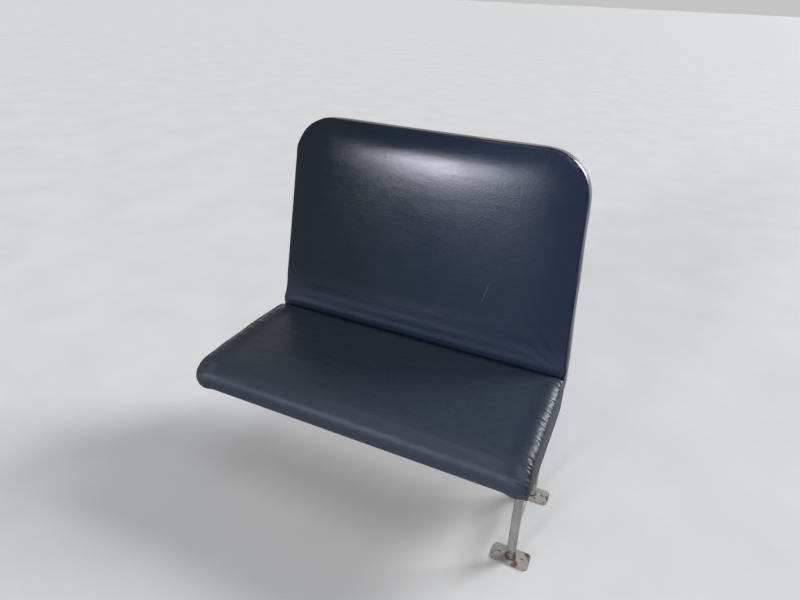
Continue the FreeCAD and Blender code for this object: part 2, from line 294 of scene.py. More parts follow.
front_foot, front_top = Vector((0, -0.125, FOOT_TOP)), on_frame(AISLE_TUBE, 0.078)
rear_foot, rear_top = Vector((0, 0.125, FOOT_TOP)), on_frame(AISLE_TUBE, 0.35314)
stretcher_front = front_foot.lerp(front_top, STRETCHER_UP / (front_top.z - FOOT_TOP))
stretcher_rear = rear_foot.lerp(rear_top, STRETCHER_UP / (rear_top.z - FOOT_TOP))
rail_mid, brace_mid = on_frame(-0.3, RAIL_BACK), on_frame(MIDDLE, 0.15)
ROUND_JOINTS = [
    ("front_foot", front_foot.lerp(front_top, 0.2), front_foot, TUBE),
    ("seat_loop", front_foot.lerp(front_top, 0.6), front_top, TUBE),
    ("rear_foot", rear_foot.lerp(rear_top, 0.2), rear_foot, TUBE),
    ("seat_loop", rear_foot.lerp(rear_top, 0.6), rear_top, TUBE),
    ("front_leg", stretcher_rear, stretcher_front, THIN_TUBE),
    ("rear_leg", stretcher_front.lerp(stretcher_rear, 0.5), stretcher_rear, THIN_TUBE),
    ("seat_loop", rail_mid, on_frame(AISLE_TUBE, RAIL_BACK), TUBE),
    ("seat_loop", rail_mid, on_frame(WALL_TUBE, RAIL_BACK), TUBE),
    ("seat_loop", brace_mid, on_frame(MIDDLE, 0), THIN_TUBE),
    ("rear_rail", brace_mid, on_frame(MIDDLE, RAIL_BACK), THIN_TUBE),
    ("seat_loop", in_back(AISLE_TUBE, 0), in_back(AISLE_TUBE + 0.0019, -0.0401), TUBE),
    ("seat_loop", in_back(WALL_TUBE, 0), in_back(WALL_TUBE, -0.0401), TUBE)]
# Straight beads along the joint plates and the wall brackets: X, where they start and end, how high.
STRAIGHT_JOINTS = [(x, 0.379, 0.421, -0.0106) for x in (-0.0109, -0.8991)]
STRAIGHT_JOINTS += [(x, middle - 0.029, middle + 0.029, -0.0112)
                    for x in (WALL_TUBE + 0.008, WALL_TUBE - 0.008) for middle in (0.090, 0.355)]
BEAD_PITCH, BEAD_SIZE, THIN_BEAD_SIZE = 0.0007, 0.0023, 0.0019

bead_lines = [bead_points(*joint) for joint in ROUND_JOINTS]
bead_lines += [[on_frame(x, start, up), on_frame(x, end, up)] for x, start, end, up in STRAIGHT_JOINTS]
bm = bmesh.new()
pick = random.Random(7)
for number, line in enumerate(bead_lines):
    closed = number < len(ROUND_JOINTS)
    line = evenly(np.array(line), BEAD_PITCH, closed)
    run = np.arange(len(line)) * BEAD_PITCH
    ripple = np.cos(run * 2 * math.pi / pick.uniform(0.0021, 0.0027))
    swing = np.sin(run / 0.006 + pick.uniform(0, 6))
    size = THIN_BEAD_SIZE if closed and ROUND_JOINTS[number][3] == THIN_TUBE else BEAD_SIZE
    tube_along(bm, line, size * (1 + 0.12 * ripple + 0.10 * swing), closed)
weld = bm.verts.layers.float.new("weld")
for v in bm.verts:
    v[weld] = 1.0
piece("weld_beads", bm, paint, "frame")


# Plugs in the open ends of the side tubes: moulded black plastic, pushed in by hand and held by
# their own grip, scuffed dull by shoes.
cap, tree, shader, place = finish_of("moulded_cap", 0.55)
worn = speckle(tree, place, 90, 6, 0.7)
colour = ramp(tree, worn, (0.35, (0.012, 0.012, 0.013)), (0.6, (0.028, 0.028, 0.029)),
              (0.75, (0.075, 0.072, 0.068)))
tree.links.new(colour, shader.inputs["Base Color"])
tree.links.new(plus(tree, 0.4, times(tree, worn, 0.3)), shader.inputs["Roughness"])
tree.links.new(bumped(tree, speckle(tree, place, 700, 2), 0.4, 0.0003), shader.inputs["Normal"])
refinish(cap, "run_plugs")


# Back: a foam pad on the hoop in a dark blue vinyl cover. The front and rear panels are sewn to a
# boxing band all round, so the faces swell between the seams. It leans back 11 degrees, and its
# aisle edge leans inboard towards the top.
PAD_WALL, PAD_AISLE = -0.950, 0.040
BACK_TAPER, BACK_THICK, BACK_LENGTH = 0.034, 0.095, 0.730
FOOT_CORNER, TOP_CORNER = 0.024, 0.135
SEAM_DEEP, SEAM_INSET = 0.0069, 0.0059      # where the seams lie: from the face, and from the edge
CONTACT = 0.0755                            # how far up the back the top of the cushion meets it
GRAIN_SIZE = 0.0024

# The pebbled grain that is pressed into the vinyl.
GRAIN, give, take = effect("pebble_grain", [("Place", "Vector", None), ("Size", "Float", GRAIN_SIZE)],
                           [("Height", "Float")])
fine, broad = (maths(GRAIN, "DIVIDE", pebbles, give["Size"]) for pebbles in (1.0, 0.35))
cells = node(GRAIN, "TexVoronoi", {"Vector": give["Place"], "Scale": fine},
             feature="SMOOTH_F1").outputs["Distance"]
wander = node(GRAIN, "TexNoise", {"Vector": give["Place"], "Scale": broad, "Detail": 3.0}).outputs["Fac"]
GRAIN.links.new(minus(GRAIN, times(GRAIN, wander, 0.8), cells), take["Height"])


# What use has done to the vinyl: fine streaks across it, dirt in patches, scuffs that dull it, and edges
# rubbed down to the brown ground. Scuffed places are also painted lighter as a painted sheen, and folds
# near-black as painted shade.
WEAR_SHEEN_SHADE, give, take = effect("vinyl_wear_sheen_and_shade", [("Place", "Vector", None), ("Colour", "Color", None),
                                         ("Roughness", "Float", 0.3), ("Scuff_sheen", "Float", 0.0),
                                         ("Worn", "Float", 0.0), ("Crease_shade", "Float", 0.0)],
                          [("Colour", "Color"), ("Roughness", "Float"), ("Rumple", "Float")])
across = speckle(WEAR_SHEEN_SHADE, stretch(WEAR_SHEEN_SHADE, give["Place"], (7, 210, 210)), 1.0, 5, 0.62)
colour = tint(WEAR_SHEEN_SHADE, times(WEAR_SHEEN_SHADE, step(WEAR_SHEEN_SHADE, across, 0.46, 0.8), 0.05), give["Colour"], (0.060, 0.066, 0.100))
mottle = step(WEAR_SHEEN_SHADE, speckle(WEAR_SHEEN_SHADE, give["Place"], 46, 6, 0.65), 0.45, 0.8)
colour = tint(WEAR_SHEEN_SHADE, times(WEAR_SHEEN_SHADE, mottle, 0.28), colour, (0.008, 0.011, 0.018))
# Scuffed places are painted lighter: a painted sheen on top of the dulling.
colour = tint(WEAR_SHEEN_SHADE, times(WEAR_SHEEN_SHADE, give["Scuff_sheen"], 0.35), colour, (0.034, 0.046, 0.080))
streaks = step(WEAR_SHEEN_SHADE, speckle(WEAR_SHEEN_SHADE, stretch(WEAR_SHEEN_SHADE, give["Place"], (12, 60, 60)), 1.0, 5, 0.7), 0.36, 0.6)
colour = tint(WEAR_SHEEN_SHADE, times(WEAR_SHEEN_SHADE, give["Worn"], streaks), colour, (0.170, 0.110, 0.088))
# Creases are painted near-black: painted shade in the folds, the tuck and beside the seams.
WEAR_SHEEN_SHADE.links.new(tint(WEAR_SHEEN_SHADE, give["Crease_shade"], colour, (0.003, 0.003, 0.004)), take["Colour"])
patchy = plus(WEAR_SHEEN_SHADE, times(WEAR_SHEEN_SHADE, speckle(WEAR_SHEEN_SHADE, give["Place"], 9, 4, 0.6), 0.6),
               times(WEAR_SHEEN_SHADE, speckle(WEAR_SHEEN_SHADE, stretch(WEAR_SHEEN_SHADE, give["Place"], (45, 80, 80)), 1.0, 4, 0.7), 0.4))
sheen = plus(WEAR_SHEEN_SHADE, times(WEAR_SHEEN_SHADE, across, 0.05), times(WEAR_SHEEN_SHADE, patchy, 0.20))
sheen = plus(WEAR_SHEEN_SHADE, minus(WEAR_SHEEN_SHADE, give["Roughness"], 0.125), sheen)
sheen = minus(WEAR_SHEEN_SHADE, sheen, times(WEAR_SHEEN_SHADE, give["Worn"], 0.05))
WEAR_SHEEN_SHADE.links.new(plus(WEAR_SHEEN_SHADE, sheen, times(WEAR_SHEEN_SHADE, give["Scuff_sheen"], 0.25)), take["Roughness"])
WEAR_SHEEN_SHADE.links.new(speckle(WEAR_SHEEN_SHADE, stretch(WEAR_SHEEN_SHADE, give["Place"], (11, 34, 34)), 1.0, 3), take["Rumple"])


def vinyl_finish(name, deep, mid, light, rough_value, side_shade_x, scratch=None, specular=0.22):
    """Grained vinyl cloth: its colours, how dull it is, between which places on X it fades from its darker
    colours on the wall side, painted shade there, to its lighter ones, and where a scratch lies, if any.
    Three attributes say where it is scuffed and painted lighter as a sheen, where it is worn, and where
    painted shade darkens it."""
    made, tree, shader, place = finish_of(name, rough_value, specular=specular)
    cloud_and_side_shade = speckle(tree, stretch(tree, place, (1.2, 2.0, 2.0)), 1.6, 3)
    # Darker towards the wall side and lighter towards the aisle along X: painted shade on the wall side,
    # mixed with a random cloud.
    wall_side_shade = step(tree, node(tree, "SeparateXYZ", {0: place}).outputs["X"], *side_shade_x)
    cloud_and_side_shade = plus(tree, times(tree, cloud_and_side_shade, 0.5), times(tree, wall_side_shade, 0.5))
    marks = {label: node(tree, "Attribute", attribute_name=label.lower()).outputs["Fac"]
             for label in ("Scuff_sheen", "Worn", "Crease_shade")}
    blue = ramp(tree, cloud_and_side_shade, (0.25, deep), (0.5, mid), (0.75, light))
    wear_sheen_shade = use(tree, WEAR_SHEEN_SHADE, {"Place": place, "Colour": blue, "Roughness": rough_value, **marks})
    colour = wear_sheen_shade["Colour"]
    if scratch:
        middle, turn, half_long, half_wide = scratch
        along = node(tree, "Mapping", {"Vector": place, "Location": middle, "Rotation": (0, turn, 0)},
                     vector_type="TEXTURE").outputs[0]
        parts = node(tree, "SeparateXYZ", {0: along}).outputs
        thin = step(tree, maths(tree, "ABSOLUTE", parts["X"]), half_wide, 0.0)
        long = times(tree, step(tree, maths(tree, "ABSOLUTE", parts["Z"]), half_long, half_long * 0.4),
                     step(tree, parts["Y"], 0.13, 0.12))
        colour = tint(tree, times(tree, times(tree, thin, long), 0.5), colour, (0.25, 0.26, 0.30))
    tree.links.new(colour, shader.inputs["Base Color"])
    tree.links.new(wear_sheen_shade["Roughness"], shader.inputs["Roughness"])
    grain = use(tree, GRAIN, {"Place": place, "Size": GRAIN_SIZE})["Height"]
    pebbled = bumped(tree, grain, 0.45, 0.00030)
    tree.links.new(bumped(tree, wear_sheen_shade["Rumple"], 0.15, 0.0016, pebbled), shader.inputs["Normal"])
    return made


back_vinyl = vinyl_finish("back_vinyl", (0.0032, 0.0088, 0.0155), (0.0052, 0.0132, 0.0290),
                          (0.0068, 0.0152, 0.0400), 0.17, (-0.85, -0.20),
                          scratch=((-0.236, 0.150, 0.598), 0.24, 0.046, 0.0008))


ARC_STEPS = 14


def rounded_sheet(corners, radii):
    """One flat face with its corners rounded."""
    bm = bmesh.new()
    made = [bm.verts.new(p) for p in corners]
    bm.faces.new(made)
    for corner, radius in zip(made, radii):
        bmesh.ops.bevel(bm, geom=[corner], offset=radius, segments=ARC_STEPS, profile=0.5, material=-1,
                        affect="VERTICES")
    bmesh.ops.remove_doubles(bm, verts=bm.verts[:], dist=0.0001)
    return bm


def outline_points(bm):
    """The corners of a flat face in order."""
    bm.faces.ensure_lookup_table()
    return np.array([v.co for v in bm.faces[0].verts])


def thicken(bm, by, rim, axis):
    """Gives a flat face its thickness and rounds both rims."""
    far = bmesh.ops.extrude_face_region(bm, geom=bm.faces[:])
    bmesh.ops.translate(bm, vec=by, verts=[v for v in far["geom"] if isinstance(v, bmesh.types.BMVert)])
    bmesh.ops.recalc_face_normals(bm, faces=bm.faces[:])
    rims = [e for e in bm.edges if abs(e.verts[0].co[axis] - e.verts[1].co[axis]) < 1e-6]
    bmesh.ops.bevel(bm, geom=rims, offset=rim, segments=4, profile=0.5, material=-1, affect="EDGES")
    return bm


def modified(bm, kind, **settings):
    """Runs a bmesh through one modifier."""
    holder = as_object("blank", bm)
    made = holder.modifiers.new(kind, kind)
    for key, value in settings.items():
        setattr(made, key, value)
    result = bmesh.new()
    result.from_object(holder, bpy.context.evaluated_depsgraph_get())
    discard(holder)
    return result


def places(bm):
    return np.array([v.co for v in bm.verts])


def put_back(bm, co):
    for v, p in zip(bm.verts, co):
        v.co = p
    bm.normal_update()


SWELL_FRAMES = 20


def swell(bm, held, reach, pressure):
    """Blows the cover out as cloth under pressure. held is each point's grip from 0 to 1, and reach
    how far it may move."""
    before = places(bm)
    holder = as_object("cover", bm.copy())
    group = holder.vertex_groups.new(name="held")
    for i in np.flatnonzero(held > 0.01):
        group.add([int(i)], float(held[i]), "REPLACE")
    cloth = holder.modifiers.new("Cloth", "CLOTH")
    settings = cloth.settings
    settings.quality = 5
    settings.mass = 0.3
    settings.tension_stiffness = settings.compression_stiffness = 18
    settings.shear_stiffness = 6
    settings.bending_stiffness = 0.6
    settings.use_pressure = True
    settings.uniform_pressure_force = pressure
    settings.effector_weights.gravity = 0
    settings.vertex_group_mass = "held"
    cloth.collision_settings.use_collision = False
    cloth.point_cache.frame_start, cloth.point_cache.frame_end = 1, SWELL_FRAMES
    for number in range(1, SWELL_FRAMES + 1):
        bpy.context.scene.frame_set(number)
    blown = bmesh.new()
    blown.from_object(holder, bpy.context.evaluated_depsgraph_get())
    move = places(blown) - before
    blown.free()
    discard(holder)
    bpy.context.scene.frame_set(1)
    length = np.linalg.norm(move, axis=1) + 1e-9
    capped = reach * np.tanh(length / np.maximum(reach, 1e-6))
    put_back(bm, before + move * (capped / length)[:, None])


def refine(bm, chosen):
    """Halves the edges between chosen points."""
    bm.verts.index_update()
    edges = [e for e in bm.edges if chosen[e.verts[0].index] and chosen[e.verts[1].index]]
    bmesh.ops.subdivide_edges(bm, edges=edges, cuts=1, smooth=0.0, use_grid_fill=True)


def beside(points, outline):
    """For flat points, the length along a closed outline to the nearest place on it, and how far that is."""
    run = np.roll(outline, -1, axis=0) - outline
    length = np.linalg.norm(run, axis=1)
    t = np.clip(((points[:, None] - outline) * run).sum(2) / length ** 2, 0, 1)
    away = np.linalg.norm(points[:, None] - (outline + t[..., None] * run), axis=2)
    near = away.argmin(1)
    rows = np.arange(len(points))
    return np.concatenate([[0], np.cumsum(length)])[near] + t[rows, near] * length[near], away[rows, near]


def hill(value, middle, width):
    """A smooth rise to 1 at the middle and back to 0."""
    return np.exp(-(((value - middle) / width) ** 2))


def rise(value, start, over):
    """Goes from 0 at start to 1 a stretch further on, or further back if over is negative."""
    return np.clip((value - start) / over, 0, 1)


def gathers(along, away, seed, spacing, height, reach):
    """Small folds drawn in at a seam, as heights, by length along the seam and distance from it. They
    come in clusters."""
    pick = random.Random(seed)
    lift = np.zeros(len(along))
    at = along.min()
    while at < along.max():
        at += spacing * pick.uniform(0.5, 1.6)
        crowd = 0.65 + 1.1 * noise.noise(Vector((at / 0.06, seed, 0)))
        tall, long = height * crowd * pick.uniform(0.4, 1.3), reach * pick.uniform(0.4, 1.2)
        wide, slant = spacing * pick.uniform(0.16, 0.28), pick.uniform(-0.25, 0.25)
        lift += (tall * hill(along - slant * away, at, wide * (1 + 0.7 * away / long))
                 * np.exp(-((away / long) ** 2)))
    envelope = np.minimum(away / 0.004, 1)
    return (lift - 0.35 * height * np.exp(-((away / reach) ** 2))) * envelope


def back_sheet(inset, deep, foot, top):
    """The back's outline as a flat face, smaller all round by inset, at a depth behind its front, with
    its foot and top corners rounded."""
    low, high = inset, BACK_LENGTH - inset
    corners = [(PAD_AISLE - inset, deep, low), (PAD_AISLE - BACK_TAPER - inset, deep, high),
               (PAD_WALL + inset, deep, high), (PAD_WALL + inset, deep, low)]
    return rounded_sheet(corners, (foot, top, top, foot))


# The blank is this much smaller all round and at each face, and the pressure fills it out.
SLACK, FACE_SLACK = 0.003, 0.004
blank = back_sheet(SLACK, FACE_SLACK, FOOT_CORNER - SLACK, TOP_CORNER - SLACK)
blank = thicken(blank, (0, BACK_THICK - 2 * FACE_SLACK, 0), 0.010, 1)
pad = modified(blank, "REMESH", mode="VOXEL", voxel_size=0.010)
edge_line = outline_points(back_sheet(0.0, 0.0, FOOT_CORNER, TOP_CORNER))[:, (0, 2)]
co = places(pad)
inside = beside(co[:, (0, 2)], edge_line)[1]
rim = np.minimum(np.abs(co[:, 1] - SEAM_DEEP), np.abs(co[:, 1] - (BACK_THICK - SEAM_DEEP)))
held = np.maximum(hill(np.maximum(inside - 0.006, 0), 0, 0.006) * hill(rim, 0, 0.005),
                  hill(np.maximum(co[:, 2] - 0.008, 0), 0, 0.010))
front = co[:, 1] < BACK_THICK / 2
reach = np.where(front, 0.014 * np.clip((co[:, 2] - CONTACT) / 0.05, 0.1, 1), 0.009)
swell(pad, held, reach, 7.0)
pad = modified(pad, "SUBSURF", levels=1, render_levels=1)

co = places(pad)
along, inside = beside(co[:, (0, 2)], edge_line)
near_rim = np.minimum(np.abs(co[:, 1] - 0.006), np.abs(co[:, 1] - BACK_THICK + 0.006)) < 0.014
refine(pad, (inside < 0.016) & near_rim)
co = places(pad)
normals = np.array([v.normal for v in pad.verts])
along, inside = beside(co[:, (0, 2)], edge_line)
front = rise(co[:, 1], 0.030, -0.02)
up = co[:, 2]
# The cushion pushes the front out in a bulge just above it, with a shallow dip over that.
lift = (0.0042 * hill(up, CONTACT + 0.012, 0.014) - 0.0018 * hill(up, CONTACT + 0.062, 0.024)) * front
# Folds fan out from the lower aisle corner: each one's direction in radians, height and width.
corner_x, corner_up = co[:, 0] - 0.030, up - CONTACT - 0.008
far_from, angle = np.hypot(corner_x, corner_up), np.arctan2(corner_up, -corner_x)
CORNER_FOLDS = ((0.62, 0.0040, 0.11), (0.98, 0.0032, 0.085), (1.28, 0.0020, 0.07), (0.30, 0.0020, 0.08))
for toward, tall, wide in CORNER_FOLDS:
    lift += (tall * front * hill(angle, toward, wide) * np.minimum(far_from / 0.02, 1)
             * hill(far_from, 0.04, 0.080))
# Small gathers hang from the upper seam.
upper = rise(up, 0.54, 0.08)
lift += upper * front * gathers(along, np.maximum(inside - 0.006, 0), 5, 0.021, 0.0013, 0.032)
put_back(pad, co + normals * lift[:, None])
worn = pad.verts.layers.float.new("worn")
crease_shade = pad.verts.layers.float.new("crease_shade")
# Hands have rubbed the vinyl through along the top edge and at the top aisle corner.
rubbed = hill(co[:, 0], -0.22, 0.20) * rise(up, BACK_LENGTH - 0.016, 0.01) * rise(co[:, 1], -0.002, 0.008)
corner_rub = (0.4 * hill(co[:, 0], -0.03, 0.05) * hill(up, BACK_LENGTH - 0.04, 0.05)
              * rise(inside, 0.02, -0.01))
# Painted shade darkens the tuck where the cushion meets it. The bulge, the aisle half and the rear are
# dulled.
dark = 0.5 * hill(up, CONTACT - 0.004, 0.003) * front
scuff_sheen = pad.verts.layers.float.new("scuff_sheen")
# The same values paint the bulge, the aisle half and the rear lighter: a painted sheen.
dulled_and_sheen = hill(up, CONTACT + 0.02, 0.07) + 0.35 * rise(co[:, 0], -0.45, 0.3)
dulled_and_sheen = dulled_and_sheen * front + 0.35 * (1 - front)
for v, rub, fold, dull in zip(pad.verts, rubbed + corner_rub, dark, dulled_and_sheen):
    v[worn], v[crease_shade], v[scuff_sheen] = float(min(rub, 1)), float(fold), float(dull)
bmesh.ops.transform(pad, matrix=LEAN, verts=pad.verts[:])
back_pad = piece("back_pad", pad, back_vinyl, "frame")
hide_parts("back_cushion")


# Collars: where the uprights come out of the back's bottom, the cover's hem is drawn tight round each
# with a thread, which gathers it.
bm = bmesh.new()
for x, seed in ((AISLE_TUBE, 2), (WALL_TUBE, 3)):
    turn = np.linspace(0, 2 * math.pi, 120, endpoint=False)
    drawn = np.array([noise.noise(Vector((math.cos(a) * 2.2, math.sin(a) * 2.2, seed))) for a in turn])
    ring = 0.0164 + 0.0005 * drawn
    line = [LEAN @ Vector((x + r * math.cos(a), HOOP_DEEP + r * math.sin(a), -0.0006))
            for r, a in zip(ring, turn)]
    tube_along(bm, line, 0.0025 + 0.0006 * drawn + 0.0002 * np.cos(turn * 17), True)
piece("back_collars", bm, back_vinyl, "frame")


# Seams of the back: the panels' edges are turned in and sewn together, which leaves two fine lips
# with a slit between them, where a near-black cord is painted shade. The rear seam's lips stand a little
# higher.
def eased(values, closed, rounds):
    """Smooths a line of values, each towards its neighbours."""
    for number in range(rounds):
        ahead, behind = np.roll(values, -1, axis=0), np.roll(values, 1, axis=0)
        if not closed:
            ahead[-1], behind[0] = values[-1], values[0]
        values = (values * 2 + ahead + behind) / 4
    return values


SEAM_PITCH, STITCH = 0.0015, 0.005          # the step along a seam's path, and a stitch


def seam(name, carrier, path, thick, spread, sunk, seed, body, material, closed=True):
    """Two lips sewn together along a path on a padded piece, with a near-black cord sunk between them
    as painted shade in the slit. The stitches pull them in."""
    skin = BVHTree.FromObject(carrier, bpy.context.evaluated_depsgraph_get())
    spots = [skin.find_nearest(Vector(p)) for p in path]
    middle = eased(np.array([s[0] for s in spots]), closed, 24)
    out = eased(np.array([s[1] for s in spots]), closed, 40)
    ahead = np.gradient(middle, axis=0)
    if closed:
        ahead[0] = ahead[-1] = middle[1] - middle[-2]
    side = np.cross(out, ahead)
    side /= np.linalg.norm(side, axis=1)[:, None]
    pick = random.Random(seed)
    phase = np.arange(len(path)) * SEAM_PITCH / STITCH
    bm = bmesh.new()
    for sign in (-1, 1):
        pull = 1 - 0.07 * np.cos(2 * math.pi * (phase + pick.random()))
        pull += 0.10 * np.sin(phase * 0.37 + pick.uniform(0, 6))
        line = middle + side * (sign * spread) - out * sunk
        tube_along(bm, line, thick * pull, closed)
    lips = len(bm.faces)
    tube_along(bm, middle + out * (0.35 * thick - sunk), np.full(len(path), 0.55 * thick), closed)
    bm.faces.ensure_lookup_table()
    for face in bm.faces[lips:]:
        face.material_index = 1
    made = piece(name, bm, material, body)
    made.data.materials.append(slit_shade)


# A near-black matte cord for the seams' slits: painted shade.
slit_shade, tree, shader, place = finish_of("seam_slit_shade", 0.8, specular=0.2)
flecks = speckle(tree, place, 900, 3)
colour = ramp(tree, flecks, (0.35, (0.0015, 0.0015, 0.002)), (0.7, (0.006, 0.006, 0.008)))
tree.links.new(colour, shader.inputs["Base Color"])


def back_ring(deep):
    """The seam's path round the back, in place."""
    ring = outline_points(back_sheet(SEAM_INSET, deep, FOOT_CORNER, 0.130))
    return [LEAN @ Vector(p) for p in evenly(ring, SEAM_PITCH)]


front_ring, rear_ring = back_ring(SEAM_DEEP), back_ring(BACK_THICK - SEAM_DEEP)
seam("back_front_seam", back_pad, front_ring, 0.0011, 0.0013, 0.0002, 3, "frame", back_vinyl)
seam("back_rear_seam", back_pad, rear_ring, 0.0014, 0.0016, 0.0, 4, "frame", back_vinyl)
lap = evenly(np.array([(PAD_WALL + 0.03, 0.066, 0.0), (PAD_AISLE - 0.03, 0.066, 0.0)]), SEAM_PITCH, False)
lap = [LEAN @ Vector(p) for p in lap]
seam("back_bottom_lap", back_pad, lap, 0.0012, 0.0014, 0.0, 9, "frame", back_vinyl, closed=False)


# Cushion: foam on a plywood board, in the same vinyl. One wide panel runs over the top and round
# the full rounded nose, and a flat panel closes each end. The top panel is gathered into the end seams.
SEAT_LOW, SEAT_TOP, SEAT_NOSE, SEAT_REAR = 0.0151, 0.1201, -0.075, 0.370
NOSE_BACK, NOSE_UP, NOSE_R, BROW_R = -0.0271, 0.0530, 0.0479, 0.1078
END_SEAM = 0.0056                           # how far in from the ends the seams lie
SITTERS = (-0.690, -0.220)                  # where people sit, on X

seat_vinyl = vinyl_finish("seat_vinyl", (0.022, 0.031, 0.042), (0.027, 0.036, 0.051), (0.031, 0.038, 0.058),
                          0.31, (-0.90, 0.0))
# The end panels' vinyl: the same cover made matte, with a lighter colour as a painted sheen.
end_sheen_vinyl = vinyl_finish("end_panel_sheen_vinyl", (0.066, 0.077, 0.086), (0.074, 0.085, 0.094),
                         (0.082, 0.093, 0.102), 0.60, (-0.90, 0.0), specular=0.015)


def seat_sheet(inset, x):
    """The cushion's outline from the side, smaller all round by inset, at x across. Two arcs make the
    nose: one of 48 mm round the front, and from 70 degrees up one of 108 mm into the top."""
    low, front, rear = 0.0051 + inset, SEAT_NOSE + inset, SEAT_REAR - inset
    small, large, join = NOSE_R - inset, BROW_R - inset, math.radians(70)
    nose_corner, brow_corner = small * math.tan(join / 2), large * math.tan(math.radians(7.5))
    brow = Vector((NOSE_BACK - small * math.cos(join), NOSE_UP + small * math.sin(join)))
    brow += Vector((math.sin(join), math.cos(join))) * brow_corner
    return rounded_sheet([(x, front, low), (x, front, NOSE_UP + nose_corner), (x, *brow),
                          (x, 0.1766, 0.1209 - inset), (x, rear, SEAT_TOP - inset), (x, rear - 0.0141, low)],
                         (small, nose_corner, brow_corner, 0.170, 0.010, 0.004))


def turned_under(co):
    """Draws the nose's lower corners round, as seen from above, by up to 30 mm."""
    out = co.copy()
    low = rise(co[:, 2], 0.084, -0.050)
    size = 0.004 + 0.026 * low * low * (3 - 2 * low) - 0.011 * hill(co[:, 2], SEAT_LOW, 0.009)
    lead = NOSE_BACK - np.sqrt(np.maximum(NOSE_R ** 2 - np.minimum(co[:, 2] - NOSE_UP, 0) ** 2, 0))
    for wall, inward in ((PAD_WALL, 1), (PAD_AISLE, -1)):
        side = size - (co[:, 0] - wall) * inward
        ahead = size - (co[:, 1] - lead)
        far = np.hypot(side, ahead)
        corner = (low > 0) & (side > 0) & (ahead > 0) & (far > size)
        ease = np.where(corner, size / np.maximum(far, 1e-6), 1)
        out[:, 0] = np.where(corner, wall + inward * (size - side * ease), out[:, 0])
        out[:, 1] = np.where(corner, lead + size - ahead * ease, out[:, 1])
    return out


def from_end(co):
    """How far in each point is from the cushion's nearer end."""
    return np.minimum(co[:, 0] - PAD_WALL, PAD_AISLE - co[:, 0])


bm = thicken(seat_sheet(SLACK, PAD_WALL + SLACK), (PAD_AISLE - PAD_WALL - 2 * SLACK, 0, 0), 0.009, 0)
cut = bmesh.ops.bisect_plane(bm, geom=bm.verts[:] + bm.edges[:] + bm.faces[:],
                             plane_co=(0, 0, SEAT_LOW + 0.001), plane_no=(0, 0, 1), clear_inner=True)
bmesh.ops.contextual_create(bm, geom=[e for e in cut["geom_cut"] if isinstance(e, bmesh.types.BMEdge)])
bmesh.ops.recalc_face_normals(bm, faces=bm.faces[:])
seat = modified(bm, "REMESH", mode="VOXEL", voxel_size=0.008)
side_line = outline_points(seat_sheet(0.0, 0.0))[:, 1:]
co = places(seat)
end = from_end(co)
held = np.maximum(hill(end, END_SEAM, 0.0045), hill(np.maximum(co[:, 2] - SEAT_LOW - 0.002, 0), 0, 0.008))
rear = co[:, 1] > 0.350 - (SEAT_TOP - co[:, 2]) * 0.1228
reach = 0.003 + 0.004 * rise(co[:, 1], -0.02, 0.10)
reach *= 0.3 + 0.7 * rise(end, 0.04, 0.14)
reach = np.where(rear, 0.002, np.where(end < 0.005, 0.004, reach))
swell(seat, held, reach, 5.0)
seat = modified(seat, "SUBSURF", levels=1, render_levels=1)

co = places(seat)
end = from_end(co)
refine(seat, (end < 0.042) & (co[:, 2] > SEAT_LOW + 0.012) & (co[:, 1] < 0.362) & (end > -0.001))
co = places(seat)
normals = np.array([v.normal for v in seat.verts])
end = from_end(co)
along, deep = beside(co[:, 1:], side_line)
wrap = (deep < 0.030) & (end > END_SEAM) & (co[:, 2] > SEAT_LOW + 0.012)
ridge = np.hypot(co[:, 1] - 0.366, co[:, 2] - 0.116)
aisle = co[:, 0] > (PAD_WALL + PAD_AISLE) / 2
away = np.maximum(end - END_SEAM, 0)
# Long and short gathers at both end seams, highest over the nose and towards the rear.
coarse = np.stack([gathers(along, away, seed, 0.0175, 0.0034, 0.036) for seed in (21, 22)])
fine = np.stack([gathers(along, away, seed, 0.0085, 0.0016, 0.013) for seed in (31, 32)])
folds = (coarse + fine)[np.where(aisle, 0, 1), np.arange(len(co))]
folds = folds * (1 + 0.9 * hill(co[:, 1], -0.015, 0.045) + 0.8 * hill(co[:, 1], 0.335, 0.030))
rear_fade = rise(co[:, 1], 0.372, -0.03)
# The top panel stands up beside the seam and falls off inwards.
shoulder = (0.0080 * (1 - np.exp(-away / 0.015)) * np.exp(-((away / 0.050) ** 4))
            * rise(co[:, 1], 0.366, -0.05))
lift = np.where(wrap, (folds + shoulder) * rear_fade, 0)
# The end panels bulge, and draw in towards the board.
panel = rise(np.abs(normals[:, 0]), 0.5, 0.4)
lift += panel * (0.0045 * (1 - np.exp(-((deep / 0.022) ** 2))) - 0.0025 * hill(co[:, 2], SEAT_LOW, 0.016))
# Two hollows where people sit and faint folds across the top, with a firm ridge at the rear.
top = rise(normals[:, 2], 0.5, 0.4) * rise(end, 0.02, 0.06)
for middle in SITTERS:
    lift -= 0.0045 * top * hill(co[:, 0], middle, 0.150) * hill(co[:, 1], 0.190, 0.120)
crosswise = np.array([noise.fractal(Vector((p[0] * 5, p[1] * 42, p[2] * 20)), 1.0, 2.0, 3) for p in co])
lift += 0.0006 * top * crosswise + 0.0034 * hill(ridge, 0, 0.0065)
lift += 0.0022 * rise(normals[:, 1], 0.5, 0.3) * rise(co[:, 2], 0.05, 0.04)
put_back(seat, turned_under(co + normals * lift[:, None]))
crease_shade = seat.verts.layers.float.new("crease_shade")
scuff_sheen = seat.verts.layers.float.new("scuff_sheen")
